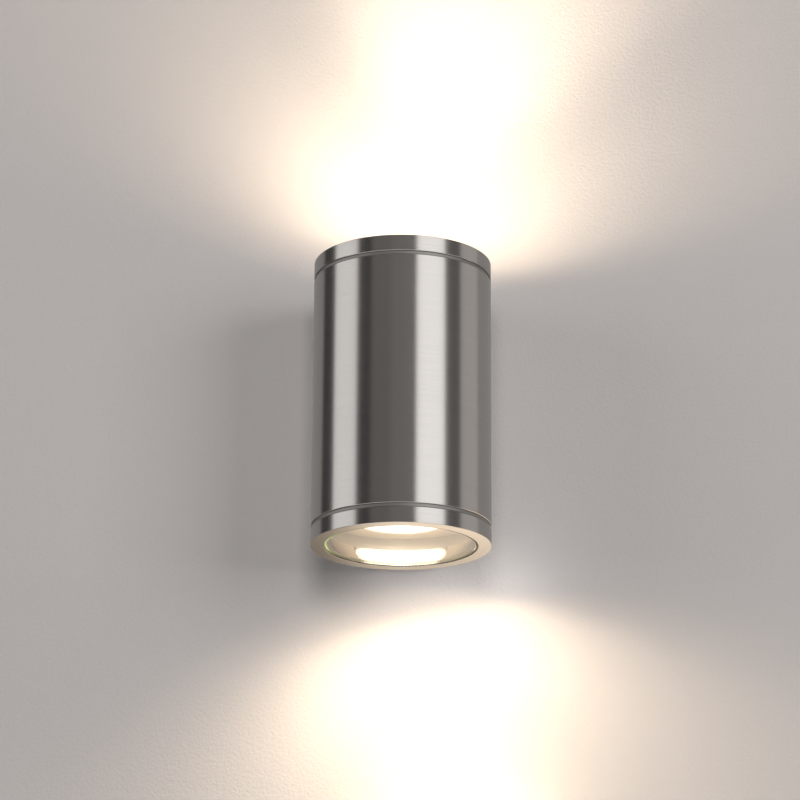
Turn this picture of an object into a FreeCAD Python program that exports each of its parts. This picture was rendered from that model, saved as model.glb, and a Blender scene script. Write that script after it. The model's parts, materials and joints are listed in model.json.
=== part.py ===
import FreeCAD, Part
import math
import os
import re
import sys

import Sketcher
from FreeCAD import Placement, Rotation, Vector

# Up-and-down tube wall light. Millimetres. The row's origin is the middle of the wall plate's back
# face: +Y points into the wall, +Z up along the tube. Every piece is drawn about the tube's own axis
# and then moved out from the wall, so in the sketches the wall is the plane y = axis_offset.

SIZES = [
    # tube and end rings
    ("tube_diameter", 100), ("tube_wall", 4), ("overall_height", 165),
    ("ring_height", 9), ("groove_height", 2.2), ("groove_depth", 0.6), ("edge_break", 0.2),
    ("face_width", 7.3), ("land_depth", 12), ("end_wall", 3.3), ("thread_clearance", 0.05),
    ("skirt_wall", 1.65), ("skirt_length", 8.2), ("seal_radius", 0.6), ("seal_play", 0.05),
    ("overshoot", 1),
    # glass
    ("bond_width", 0.5), ("bond_bed", 0.6), ("ledge_width", 1.2), ("glass_recess", 0.3),
    ("glass_thickness", 4), ("glass_bevel", 0.7),
    # baffle round the lamp
    ("baffle_thickness", 1), ("baffle_play", 0.1), ("baffle_edge_play", 0.2), ("collar_height", 5),
    ("collar_wall", 0.8), ("collar_clearance", 0.1), ("curl_height", 2), ("lamp_hole_play", 0.6),
    # lamp
    ("lamp_diameter", 50), ("lamp_length", 49), ("lamp_rim_height", 4.5), ("lamp_rim_wall", 2.5),
    ("rim_step", 1.4), ("rim_slope", 1.5),
    ("lens_thickness", 2), ("lens_recess", 0.4), ("lens_clearance", 0.1), ("heat_sink_height", 29),
    ("neck_diameter", 34), ("cap_diameter", 27), ("cap_chamfer", 1.5), ("fin_slot_width", 2.4),
    ("fin_slot_depth", 3.5), ("pin_pitch", 10), ("pin_diameter", 3.15), ("pin_shaft", 3.5),
    ("pin_head_diameter", 4.95), ("pin_head_height", 1.9),
    # lampholder
    ("holder_length", 32), ("holder_width", 17), ("holder_corner", 8), ("holder_height", 15.15),
    ("holder_play", 0.2), ("bayonet_twist", 30), ("bayonet_clearance", 0.3), ("bayonet_lip", 3),
    ("bayonet_cavity", 4.2), ("contact_diameter", 4.4), ("contact_thickness", 0.6),
    ("contact_gap", 0.2), ("stem_diameter", 2.4), ("stem_clearance", 0.1), ("stem_reach", 2.85),
    ("wiring_depth", 5.75), ("wiring_width", 19), ("wiring_front", 3),
    # small screws that clamp the lampholders to the shelf
    ("holder_screw_spacing", 25), ("small_screw", 3), ("small_head", 5.5), ("small_head_height", 2.2),
    ("small_nut", 5.5), ("small_nut_height", 2.4), ("head_pocket_depth", 3.2), ("screw_clearance", 0.15),
    ("thread_play", 0.05), ("head_play", 0.45), ("head_round", 0.7), ("slot_width", 0.8), ("slot_depth", 1.1),
    # carrier
    ("sheet_thickness", 1.5), ("foot_width", 30), ("foot_height", 60), ("foot_play", 0.05),
    ("shelf_width", 37), ("shelf_front", 10), ("shelf_shoulder", 32), ("shelf_lip", 4),
    ("lead_hole", 4), ("lead_hole_place", 11.6), ("foot_cable_hole", 14), ("bend_radius", 1.5),
    # terminal block
    ("block_width", 30), ("block_depth", 14), ("block_height", 14), ("block_corner", 1), ("block_gap", 8),
    ("pole_pitch", 9.5), ("pole_height", 6), ("clamp_diameter", 4.8), ("clamp_bore", 3),
    ("clamp_inset", 0.5), ("clamp_play", 0.05), ("clamp_screw", 2.4), ("clamp_head", 3.5),
    ("clamp_head_height", 2.5), ("clamp_screw_inset", 3.5), ("well_play", 0.15),
    ("block_screw_seat", 8), ("block_screw_end", 1.5), ("clamp_head_round", 0.3),
    # leads and earth point
    ("lead_diameter", 1.9), ("lead_spread", 1), ("lead_height", 4.8), ("lead_stagger", 1),
    ("lead_lean", 0.3), ("lead_rise", 4), ("lead_straight", 5), ("earth_screw", 4),
    ("earth_head", 7), ("earth_head_height", 2.4), ("earth_height", 24), ("tag_thickness", 0.8),
    ("tag_diameter", 7.2), ("barrel_diameter", 2.6), ("barrel_length", 4),
    # saddle between tube and wall
    ("wall_gap", 12), ("saddle_width", 60), ("saddle_height", 90), ("saddle_wall", 3),
    ("saddle_corner", 5), ("seat_clearance", 0.05), ("web_width", 16), ("web_height", 60),
    ("web_back", 7.5), ("gasket_thickness", 2), ("gasket_inset", 0.4),
    ("saddle_screw_spacing", 44), ("saddle_screw", 5), ("saddle_head", 8.8), ("saddle_head_height", 3.1),
    ("saddle_hole_play", 0.25), ("saddle_nut", 8), ("saddle_nut_height", 4), ("screw_end", 0.5),
    ("saddle_head_round", 1.2), ("saddle_key", 3), ("saddle_key_depth", 1.8),
    # cable entry
    ("cable_height", 9), ("cable_bore", 8), ("grommet_diameter", 11), ("grommet_flange", 12.6),
    ("grommet_flange_height", 1.5), ("grommet_play", 0.1),
    # wall plate
    ("plate_thickness", 2), ("plate_width", 50), ("plate_height", 77.6), ("plate_corner", 3),
    ("wall_hole", 5.2), ("wall_hole_spacing", 60), ("plate_cable_hole", 20), ("tab_width", 16),
    ("tab_reach", 8.4), ("fixing_screw", 4), ("fixing_place", 5), ("fixing_head", 7.2),
    ("fixing_head_height", 2.2), ("fixing_reach", 10.5), ("fixing_hole_play", 0.2),
    ("fixing_key", 2.5), ("fixing_key_depth", 1.3), ("relief_width", 1), ("relief_height", 3),
    ("plate_bend_radius", 2),
]

doc = FreeCAD.newDocument("TubeWallLight")
sheet = doc.addObject("Spreadsheet::Sheet", "Sizes")
for row, (size_name, size_value) in enumerate(SIZES, start=1):
    sheet.set(f"A{row}", size_name)
    sheet.set(f"B{row}", str(size_value))
    sheet.setAlias(f"B{row}", size_name)
doc.recompute()

NAMES = {size_name for size_name, _ in SIZES}
TOUCH = 1e-4
FIN_SLOTS = 14

# ---- Sizes worked out from the driving ones, as expressions on the sheet ----

OUTER_R = "(tube_diameter / 2)"
BORE_R = f"({OUTER_R} - tube_wall)"
THREAD_R = f"({OUTER_R} - end_wall)"
HALF_HEIGHT = "(overall_height / 2)"
AXIS_OFFSET = f"({OUTER_R} + wall_gap)"

# Depths into the tube, from the end ring's outer face
NECK_END = "(ring_height + groove_height)"
SKIRT_END = f"({NECK_END} + skirt_length)"
BAFFLE_FACE = f"({SKIRT_END} + baffle_play)"
SHOULDER = f"({BAFFLE_FACE} + baffle_thickness)"
GLASS_TOP = "(glass_recess + glass_thickness)"
LEDGE = f"({GLASS_TOP} + bond_bed)"
HOLDER_BACK = f"({HALF_HEIGHT} - sheet_thickness / 2)"
HOLDER_FACE = f"({HOLDER_BACK} - holder_height)"
LAMP_BACK = f"({HOLDER_FACE} - holder_play)"
LAMP_FACE = f"({LAMP_BACK} - lamp_length)"
HEAT_SINK_END = f"({LAMP_FACE} + heat_sink_height)"

# Radii in the end ring
SKIRT_R = f"({THREAD_R} - thread_clearance)"
SKIRT_BORE = f"({SKIRT_R} - skirt_wall)"
OPENING_R = f"({OUTER_R} - face_width)"
GLASS_R = f"({OPENING_R} - bond_width)"
LAND_R = f"({GLASS_R} - ledge_width)"
SEAL_SEAT = "((2 + sqrt(2)) * (seal_radius + seal_play) - thread_clearance)"

# Places across the tube, measured from its axis towards the wall
FOOT_BACK = f"(sqrt({BORE_R} ^ 2 - (foot_width / 2) ^ 2) - foot_play)"
FOOT_FRONT = f"({FOOT_BACK} - sheet_thickness)"
BLOCK_BACK = f"({FOOT_FRONT} - block_gap)"
BLOCK_FRONT = f"({BLOCK_BACK} - block_depth)"
RIM = f"({AXIS_OFFSET} - gasket_thickness)"
WEB_FACE = f"({AXIS_OFFSET} - web_back)"
SHELF_TOP = "(sheet_thickness / 2)"
POLE_LEVEL = f"({SHELF_TOP} + pole_height)"


def resolved(expression):
    """Put the sheet's name in front of each size that an expression names."""
    def with_sheet(match):
        return "Sizes." + match.group() if match.group() in NAMES else match.group()
    return re.sub(r"[a-z]+(?:_[a-z]+)*", with_sheet, expression)


def value(expression):
    """Present value of an expression, in millimetres or degrees."""
    return float(sheet.evalExpression(resolved(expression)))


# ---- Bodies and sketches ----

def tube_body(label):
    """New body drawn about the tube's axis, with z = 0 at the middle of the tube."""
    body = doc.addObject("PartDesign::Body", label)
    body.Label = label
    body.setExpression("Placement.Base.y", resolved(f"-{AXIS_OFFSET}"))
    return body


def end_body(end, name):
    """New body drawn from one end ring's face (z = 0) into the tube, then put at that end."""
    body = tube_body(f"{end}_{name}")
    if end == "upper":
        body.Placement = Placement(Vector(0, 0, 0), Rotation(Vector(1, 0, 0), 180))
        body.setExpression("Placement.Base.z", resolved(HALF_HEIGHT))
    else:
        body.setExpression("Placement.Base.z", resolved(f"-{HALF_HEIGHT}"))
    return body


def sketch_on(body, plane, level, name):
    """Sketch on one of the body's origin planes, moved to a level along +X, +Y or +Z."""
    sketch = body.newObject("Sketcher::SketchObject", name + "Sketch")
    support = next(item for item in body.Origin.OriginFeatures if item.Role == plane)
    sketch.AttachmentSupport = [(support, "")]
    sketch.MapMode = "FlatFace"
    sign = "-" if plane == "XZ_Plane" else ""
    sketch.setExpression("AttachmentOffset.Base.z", resolved(f"{sign}({level})"))
    return sketch


def tie(sketch, kind, *geometry, expression):
    """Add a dimension to a sketch and bind it to the sheet."""
    index = sketch.addConstraint(Sketcher.Constraint(kind, *geometry, value(expression)))
    sketch.setExpression(f"Constraints[{index}]", resolved(expression))


def tie_point(sketch, geometry, point, x, y):
    """Hold a point of a sketch's geometry at x, y from the origin."""
    tie(sketch, "DistanceX", -1, 1, geometry, point, expression=x)
    tie(sketch, "DistanceY", -1, 1, geometry, point, expression=y)


def circle(sketch, x, y, radius):
    """Circle with its centre at x, y."""
    index = sketch.addGeometry(Part.Circle(Vector(value(x), value(y), 0), Vector(0, 0, 1), value(radius)))
    tie_point(sketch, index, 3, x, y)
    tie(sketch, "Radius", index, expression=radius)


def polygon(sketch, *corners):
    """Closed loop of straight lines through the corners."""
    points = [Vector(value(x), value(y), 0) for x, y in corners]
    lines = []
    for start, end in zip(points, points[1:] + points[:1]):
        lines.append(sketch.addGeometry(Part.LineSegment(start, end)))
    for line, following in zip(lines, lines[1:] + lines[:1]):
        sketch.addConstraint(Sketcher.Constraint("Coincident", line, 2, following, 1))
    for line, (x, y) in zip(lines, corners):
        tie_point(sketch, line, 1, x, y)


def box(sketch, left, right, bottom, top):
    """Rectangle."""
    polygon(sketch, (left, bottom), (right, bottom), (right, top), (left, top))


def round_box(sketch, half_width, half_height, corner, x="0", y="0"):
    """Rectangle with round corners about the point x, y."""
    radius = value(corner)
    arcs = []
    centres = []
    for quarter, (right, up) in enumerate(((1, 1), (-1, 1), (-1, -1), (1, -1))):
        centre = (f"{x} + {right} * ({half_width} - {corner})", f"{y} + {up} * ({half_height} - {corner})")
        round_line = Part.Circle(Vector(value(centre[0]), value(centre[1]), 0), Vector(0, 0, 1), radius)
        start = quarter * math.pi / 2
        arcs.append(sketch.addGeometry(Part.ArcOfCircle(round_line, start, start + math.pi / 2)))
        centres.append(centre)
    ends = [sketch.getPoint(arc, 2) for arc in arcs]
    starts = [sketch.getPoint(arc, 1) for arc in arcs]
    for index in range(4):
        following = (index + 1) % 4
        side = sketch.addGeometry(Part.LineSegment(ends[index], starts[following]))
        sketch.addConstraint(Sketcher.Constraint("Tangent", arcs[index], 2, side, 1))
        sketch.addConstraint(Sketcher.Constraint("Tangent", side, 2, arcs[following], 1))
    for arc, (centre_x, centre_y) in zip(arcs, centres):
        tie_point(sketch, arc, 3, centre_x, centre_y)
        tie(sketch, "Radius", arc, expression=corner)


def hexagon(sketch, x, y, across_flats):
    """Regular hexagon with two corners on its x axis, such as a nut's outline."""
    corner = f"({across_flats} / 2 / cos(30 deg))"
    polygon(sketch, *[(f"{x} + {corner} * cos({60 * turn} deg)", f"{y} + {corner} * sin({60 * turn} deg)")
                      for turn in range(6)])


# ---- Features ----

def pad(body, name, plane, low, high, *outlines):
    """Material between two levels along the plane's + axis. An outline is (function, its values)."""
    sketch = sketch_on(body, plane, high if plane == "XZ_Plane" else low, name)
    for draw, *values in outlines:
        draw(sketch, *values)
    feature = body.newObject("PartDesign::Pad", name)
    feature.Profile = sketch
    feature.setExpression("Length", resolved(f"({high}) - ({low})"))
    return feature


def cut(body, name, plane, low, high, *outlines):
    """Cut between two levels along the plane's + axis."""
    sketch = sketch_on(body, plane, low if plane == "XZ_Plane" else high, name)
    for draw, *values in outlines:
        draw(sketch, *values)
    feature = body.newObject("PartDesign::Pocket", name)
    feature.Profile = sketch
    feature.setExpression("Length", resolved(f"({high}) - ({low})"))
    return feature


def turned(body, name, *corners):
    """Solid of revolution about the z axis, from corners given as radius and height."""
    sketch = sketch_on(body, "XZ_Plane", "0", name)
    polygon(sketch, *corners)
    feature = body.newObject("PartDesign::Revolution", name)
    feature.Profile = sketch
    feature.ReferenceAxis = (sketch, ["V_Axis"])
    feature.Angle = 360
    return feature


def rounded(body, name, radius, chosen):
    """Fillet on each edge of the body so far that a test picks."""
    doc.recompute()
    base = body.Tip
    picked = [f"Edge{number}" for number, edge in enumerate(base.Shape.Edges, start=1) if chosen(edge)]
    feature = body.newObject("PartDesign::Fillet", name)
    feature.Base = (base, picked)
    feature.setExpression("Radius", resolved(radius))
    return feature


def circle_at(axis, level, radius):
    """Test for a round edge of a radius at a level along the axis."""
    place = value(level)
    size = value(radius)

    def chosen(edge):
        if not isinstance(edge.Curve, Part.Circle):
            return False
        return abs(getattr(edge.Curve.Center, axis) - place) < TOUCH and abs(edge.Curve.Radius - size) < TOUCH
    return chosen


def line_at(**places):
    """Test for a straight edge whose middle stands at these distances from the origin planes."""
    levels = {axis: value(place) for axis, place in places.items()}

    def chosen(edge):
        middle = edge.CenterOfMass
        straight = isinstance(edge.Curve, Part.Line)
        return straight and all(abs(abs(getattr(middle, axis)) - level) < TOUCH
                                for axis, level in levels.items())
    return chosen


def slots(body, name, low, high, places, length):
    """Screwdriver slots across heads that face up the z axis."""
    cut(body, name, "XY_Plane", low, high,
        *[(box, f"{x} - slot_width / 2", f"{x} + slot_width / 2", f"{y} - {length}", f"{y} + {length}")
          for x, y in places])


def arc_slot(body, name, middle, half_width, low, high):
    """Cut that a pin sweeps when it turns back by the bayonet's angle about the z axis."""
    outlines = []
    sketch = sketch_on(body, "XZ_Plane", "0", name)
    box(sketch, f"{middle} - {half_width}", f"{middle} + {half_width}", low, high)
    feature = body.newObject("PartDesign::Groove", name)
    feature.Profile = sketch
    feature.ReferenceAxis = (sketch, ["V_Axis"])
    feature.Reversed = True
    feature.setExpression("Angle", resolved("bayonet_twist * 1 deg"))
    for turn in ("0 deg", "-bayonet_twist * 1 deg"):
        outlines.append((circle, f"{middle} * cos({turn})", f"{middle} * sin({turn})", half_width))
    cut(body, name + "Ends", "XY_Plane", low, high, *outlines)


# ---- Tube and end rings ----

def make_body_tube():
    """Tube with a threaded mouth, a seal chamfer and a baffle shoulder at each end."""
    body = tube_body("body_tube")
    end = f"({HALF_HEIGHT} - {NECK_END})"
    lower_half = [
        (BORE_R, f"-({HALF_HEIGHT} - {SHOULDER})"),
        (THREAD_R, f"-({HALF_HEIGHT} - {SHOULDER})"),
        (THREAD_R, f"-({end} - {SEAL_SEAT})"),
        (f"{THREAD_R} + {SEAL_SEAT}", f"-{end}"),
        (f"{OUTER_R} - edge_break", f"-{end}"),
        (OUTER_R, f"-({end} - edge_break)"),
    ]
    upper_half = [(radius, height[1:]) for radius, height in reversed(lower_half)]
    turned(body, "Wall", *lower_half, *upper_half)
    half_spacing = "saddle_screw_spacing / 2"
    cut(body, "BackHoles", "XZ_Plane", f"{BORE_R} - overshoot", f"{OUTER_R} + overshoot",
        (circle, "0", half_spacing, "saddle_screw / 2 + saddle_hole_play"),
        (circle, "0", f"-{half_spacing}", "saddle_screw / 2 + saddle_hole_play"),
        (circle, "0", "cable_height", "grommet_diameter / 2 + grommet_play"))


def make_ring(end):
    """End ring: flange, neck that leaves the shadow groove, threaded skirt and inner land."""
    body = end_body(end, "ring")
    turned(body, "Ring",
           (f"{OPENING_R} + edge_break / 2", "0"),
           (f"{OUTER_R} - edge_break", "0"),
           (OUTER_R, "edge_break"),
           (OUTER_R, "ring_height - edge_break"),
           (f"{OUTER_R} - edge_break", "ring_height"),
           (f"{OUTER_R} - groove_depth", "ring_height"),
           (f"{OUTER_R} - groove_depth", NECK_END),
           (SKIRT_R, NECK_END),
           (SKIRT_R, SKIRT_END),
           (SKIRT_BORE, SKIRT_END),
           (SKIRT_BORE, "land_depth"),
           (LAND_R, "land_depth"),
           (LAND_R, LEDGE),
           (OPENING_R, LEDGE),
           (OPENING_R, "edge_break / 2"))


def make_ring_seal(end):
    """Sealing ring between the skirt's root and the tube's chamfer."""
    seal = doc.addObject("Part::Torus", f"{end}_ring_seal")
    seal.Label = f"{end}_ring_seal"
    seal.setExpression("Radius1", resolved(f"{SKIRT_R} + seal_radius + seal_play"))
    seal.setExpression("Radius2", resolved("seal_radius"))
    seal.setExpression("Placement.Base.y", resolved(f"-{AXIS_OFFSET}"))
    sign = "" if end == "upper" else "-"
    height = f"({HALF_HEIGHT} - {NECK_END} - seal_radius - seal_play)"
    seal.setExpression("Placement.Base.z", resolved(f"{sign}{height}"))


def make_glass(end):
    """Float glass disc with both edges bevelled."""
    body = end_body(end, "glass")
    turned(body, "Disc",
           ("0", "glass_recess"),
           (f"{GLASS_R} - glass_bevel", "glass_recess"),
           (GLASS_R, "glass_recess + glass_bevel"),
           (GLASS_R, f"{GLASS_TOP} - glass_bevel"),
           (f"{GLASS_R} - glass_bevel", GLASS_TOP),
           ("0", GLASS_TOP))


def make_glass_seal(end):
    """Bonding seal: a bed on the ring's ledge and a wall round the glass."""
    body = end_body(end, "glass_seal")
    turned(body, "Seal",
           (GLASS_R, "glass_recess + glass_bevel"),
           (OPENING_R, "glass_recess + glass_bevel"),
           (OPENING_R, LEDGE),
           (f"{LAND_R} + edge_break", LEDGE),
           (f"{LAND_R} + edge_break", GLASS_TOP),
           (GLASS_R, GLASS_TOP))


def make_baffle(end):
    """Spun baffle: flat disc, collar that grips the bore and a curl round the lamp hole."""
    body = end_body(end, "baffle")
    hole = "(lamp_diameter / 2 + lamp_hole_play)"
    collar = f"({BORE_R} - collar_clearance)"
    turned(body, "Disc",
           (hole, BAFFLE_FACE),
           (f"{THREAD_R} - baffle_edge_play", BAFFLE_FACE),
           (f"{THREAD_R} - baffle_edge_play", SHOULDER),
           (collar, SHOULDER),
           (collar, f"{SHOULDER} + collar_height"),
           (f"{collar} - collar_wall", f"{SHOULDER} + collar_height"),
           (f"{collar} - collar_wall", SHOULDER),
           (f"{hole} + collar_wall", SHOULDER),
           (f"{hole} + collar_wall", f"{SHOULDER} + curl_height"),
           (hole, f"{SHOULDER} + curl_height"))


# ---- Lamps and lampholders ----

def make_lamp_body(end):
    """Lamp's finned heat sink with the rim that holds the lens."""
    body = end_body(end, "lamp_body")
    rim = "(lamp_diameter / 2)"
    lens_seat = f"({LAMP_FACE} + lens_recess + lens_thickness)"
    shoulder = f"({LAMP_FACE} + lamp_rim_height)"
    turned(body, "Shell",
           ("0", lens_seat),
           (f"{rim} - lamp_rim_wall", lens_seat),
           (f"{rim} - lamp_rim_wall", LAMP_FACE),
           (f"{rim} - lens_recess", LAMP_FACE),
           (rim, f"{LAMP_FACE} + lens_recess"),
           (rim, shoulder),
           (f"{rim} - rim_step", f"{shoulder} + rim_slope"),
           ("neck_diameter / 2", HEAT_SINK_END),
           ("0", HEAT_SINK_END))
    slot = sketch_on(body, "XZ_Plane", "0", "FinSlot")
    polygon(slot,
            (f"{rim} - fin_slot_depth", f"{shoulder} + fin_slot_width"),
            (f"{rim} + overshoot", f"{shoulder} + fin_slot_width"),
            (f"{rim} + overshoot", f"{HEAT_SINK_END} - fin_slot_width"),
            ("neck_diameter / 2 - fin_slot_depth / 2", f"{HEAT_SINK_END} - fin_slot_width"))
    first = body.newObject("PartDesign::Pocket", "FinSlot")
    first.Profile = slot
    first.Midplane = True
    first.setExpression("Length", resolved("fin_slot_width"))
    pattern = body.newObject("PartDesign::PolarPattern", "FinSlots")
    pattern.Originals = [first]
    pattern.Axis = (slot, ["V_Axis"])
    pattern.Angle = 360
    pattern.Occurrences = FIN_SLOTS
    body.Tip = pattern


def make_lamp_cap(end):
    """Moulded cap that carries the two pins."""
    body = end_body(end, "lamp_cap")
    radius = "(cap_diameter / 2)"
    turned(body, "Cap",
           ("0", HEAT_SINK_END),
           (radius, HEAT_SINK_END),
           (radius, f"{LAMP_BACK} - cap_chamfer"),
           (f"{radius} - cap_chamfer", LAMP_BACK),
           ("0", LAMP_BACK))


def make_lamp_pins(end):
    """Two headed pins that hook into the lampholder."""
    body = end_body(end, "lamp_pins")
    head = f"({LAMP_BACK} + pin_shaft)"
    for name, low, high, size in (("Shafts", LAMP_BACK, head, "pin_diameter / 2"),
                                  ("Heads", head, f"{head} + pin_head_height", "pin_head_diameter / 2")):
        pad(body, name, "XY_Plane", low, high,
            (circle, "pin_pitch / 2", "0", size),
            (circle, "-pin_pitch / 2", "0", size))


def make_lamp_lens(end):
    """Lamp's front lens, just behind the face of its rim."""
    body = end_body(end, "lamp_lens")
    radius = "(lamp_diameter / 2 - lamp_rim_wall - lens_clearance)"
    front = f"({LAMP_FACE} + lens_recess)"
    turned(body, "Lens", ("0", front), (radius, front),
           (radius, f"{front} + lens_thickness"), ("0", f"{front} + lens_thickness"))


def make_lampholder(end):
    """Ceramic block with two keyhole slots that lock the lamp's pins when it is turned."""
    body = end_body(end, "lampholder")
    pad(body, "Block", "XY_Plane", HOLDER_FACE, HOLDER_BACK,
        (round_box, "holder_length / 2", "holder_width / 2", "holder_corner"))
    screw_place = "(holder_screw_spacing / 2)"
    screw_hole = "small_screw / 2 + screw_clearance"
    pocket = "small_head / 2 + head_play"
    cut(body, "ScrewHoles", "XY_Plane", HOLDER_FACE, HOLDER_BACK,
        (circle, screw_place, "0", screw_hole), (circle, f"-{screw_place}", "0", screw_hole))
    cut(body, "ScrewPockets", "XY_Plane", HOLDER_FACE, f"{HOLDER_FACE} + head_pocket_depth",
        (circle, screw_place, "0", pocket), (circle, f"-{screw_place}", "0", pocket))
    lip = f"({HOLDER_FACE} + bayonet_lip)"
    floor = f"({lip} + bayonet_cavity)"
    shaft = "(pin_diameter / 2 + bayonet_clearance)"
    head = "(pin_head_diameter / 2 + bayonet_clearance)"
    for side, name in (("", "Right"), ("-", "Left")):
        middle = f"({side}pin_pitch / 2)"
        arc_slot(body, name + "Slot", middle, shaft, HOLDER_FACE, lip)
        arc_slot(body, name + "Cavity", middle, head, lip, floor)
        cut(body, name + "Keyhole", "XY_Plane", HOLDER_FACE, lip,
            (circle, f"{middle} * cos(bayonet_twist * 1 deg)", f"-{middle} * sin(bayonet_twist * 1 deg)", head))
    stem = "stem_diameter / 2 + stem_clearance"
    cut(body, "StemHoles", "XY_Plane", floor, HOLDER_BACK,
        (circle, "pin_pitch / 2", "0", stem), (circle, "-pin_pitch / 2", "0", stem))
    # The wiring space opens towards the wall, which is -y in the upper end's turned frame.
    near, far = ("-wiring_front", "holder_width / 2 + overshoot")
    if end == "upper":
        near, far = (f"-({far})", "wiring_front")
    cut(body, "WiringSpace", "XY_Plane", f"{HOLDER_BACK} - wiring_depth", HOLDER_BACK,
        (box, "-wiring_width / 2", "wiring_width / 2", near, far))


def make_holder_contacts(end):
    """Two contacts: a leaf under each pin's head and a stem into the wiring space."""
    body = end_body(end, "holder_contacts")
    leaf = f"({LAMP_BACK} + pin_shaft + pin_head_height + contact_gap)"
    stem = f"({leaf} + contact_thickness)"
    for name, low, high, size in (("Leaves", leaf, stem, "contact_diameter / 2"),
                                  ("Stems", stem, f"{HOLDER_BACK} - stem_reach", "stem_diameter / 2")):
        pad(body, name, "XY_Plane", low, high,
            (circle, "pin_pitch / 2", "0", size),
            (circle, "-pin_pitch / 2", "0", size))


def make_holder_screws():
    """Two long screws that clamp both lampholders to the shelf, and their nuts."""
    place = "(holder_screw_spacing / 2)"
    seat = f"({HALF_HEIGHT} - {HOLDER_FACE} - head_pocket_depth)"
    nut_end = f"-({seat} + small_nut_height)"
    screws = tube_body("holder_screws")
    for name, low, high, size in (("Heads", seat, f"{seat} + small_head_height", "small_head / 2"),
                                  ("Shanks", nut_end, seat, "small_screw / 2")):
        pad(screws, name, "XY_Plane", low, high,
            (circle, place, "0", size), (circle, f"-{place}", "0", size))
    top = f"({seat} + small_head_height)"
    rounded(screws, "HeadEdges", "head_round", circle_at("z", top, "small_head / 2"))
    slots(screws, "Slots", f"{top} - slot_depth", top, ((place, "0"), (f"-{place}", "0")), "small_head / 2")
    nuts = tube_body("holder_nuts")
    bore = "small_screw / 2 + thread_play"
    pad(nuts, "Nuts", "XY_Plane", nut_end, f"-{seat}",
        (hexagon, place, "0", "small_nut"), (hexagon, f"-{place}", "0", "small_nut"),
        (circle, place, "0", bore), (circle, f"-{place}", "0", bore))


# ---- Carrier, terminals and earth point ----

def make_lamp_carrier():
    """Sheet bracket: a foot on the tube's back wall and a shelf with turned-down edges."""
    body = tube_body("lamp_carrier")
    half_spacing = "saddle_screw_spacing / 2"
    screw = "saddle_screw / 2 + saddle_hole_play"
    pad(body, "Foot", "XZ_Plane", FOOT_FRONT, FOOT_BACK,
        (round_box, "foot_width / 2", "foot_height / 2", "plate_corner"),
        (circle, "0", half_spacing, screw), (circle, "0", f"-{half_spacing}", screw),
        (circle, "0", "cable_height", "foot_cable_hole / 2"),
        (circle, "pole_pitch", "earth_height", "earth_screw / 2 + thread_play"))
    half = "(shelf_width / 2)"
    narrow = "(foot_width / 2)"
    slope = f"(shelf_shoulder + {half} - {narrow})"
    pad(body, "Shelf", "XY_Plane", f"-{SHELF_TOP}", SHELF_TOP,
        (polygon, (f"-{half}", "-shelf_front"), (half, "-shelf_front"), (half, "shelf_shoulder"),
         (narrow, slope), (narrow, FOOT_FRONT), (f"-{narrow}", FOOT_FRONT), (f"-{narrow}", slope),
         (f"-{half}", "shelf_shoulder")))
    for side, name in (("", "Right"), ("-", "Left")):
        pad(body, name + "Lip", "XY_Plane", f"-{SHELF_TOP} - shelf_lip", f"-{SHELF_TOP}",
            (box, *sorted((f"{side}({half} - sheet_thickness)", f"{side}{half}"), key=value),
             "-shelf_front", "shelf_shoulder"))
    rounded(body, "Bends", "bend_radius", line_at(x=half, z=SHELF_TOP))
    place = "(holder_screw_spacing / 2)"
    block_middle = f"(({BLOCK_FRONT} + {BLOCK_BACK}) / 2)"
    screw_hole = "small_screw / 2 + screw_clearance"
    tapped = "small_screw / 2 + thread_play"
    cut(body, "ShelfHoles", "XY_Plane", f"-{SHELF_TOP}", SHELF_TOP,
        (circle, place, "0", screw_hole), (circle, f"-{place}", "0", screw_hole),
        (circle, "pole_pitch / 2", block_middle, tapped), (circle, "-pole_pitch / 2", block_middle, tapped),
        (circle, "-pole_pitch - lead_spread", "lead_hole_place", "lead_hole / 2"),
        (circle, "-lead_spread", "lead_hole_place", "lead_hole / 2"))


def make_carrier_nuts():
    """Two nuts pressed on the carrier's foot for the saddle screws."""
    body = tube_body("carrier_nuts")
    outlines = []
    for side in ("", "-"):
        place = f"{side}saddle_screw_spacing / 2"
        outlines.append((hexagon, "0", place, "saddle_nut"))
        outlines.append((circle, "0", place, "saddle_screw / 2 + thread_play"))
    pad(body, "Nuts", "XZ_Plane", f"{FOOT_FRONT} - saddle_nut_height", FOOT_FRONT, *outlines)


def pole_places():
    """Where the terminal block's three poles stand across the block."""
    return ("-pole_pitch", "0", "pole_pitch")


def clamp_screw_places():
    """Where the two clamp screws of a pole stand along it."""
    return (f"{BLOCK_FRONT} + clamp_screw_inset", f"{BLOCK_BACK} - clamp_screw_inset")


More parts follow.
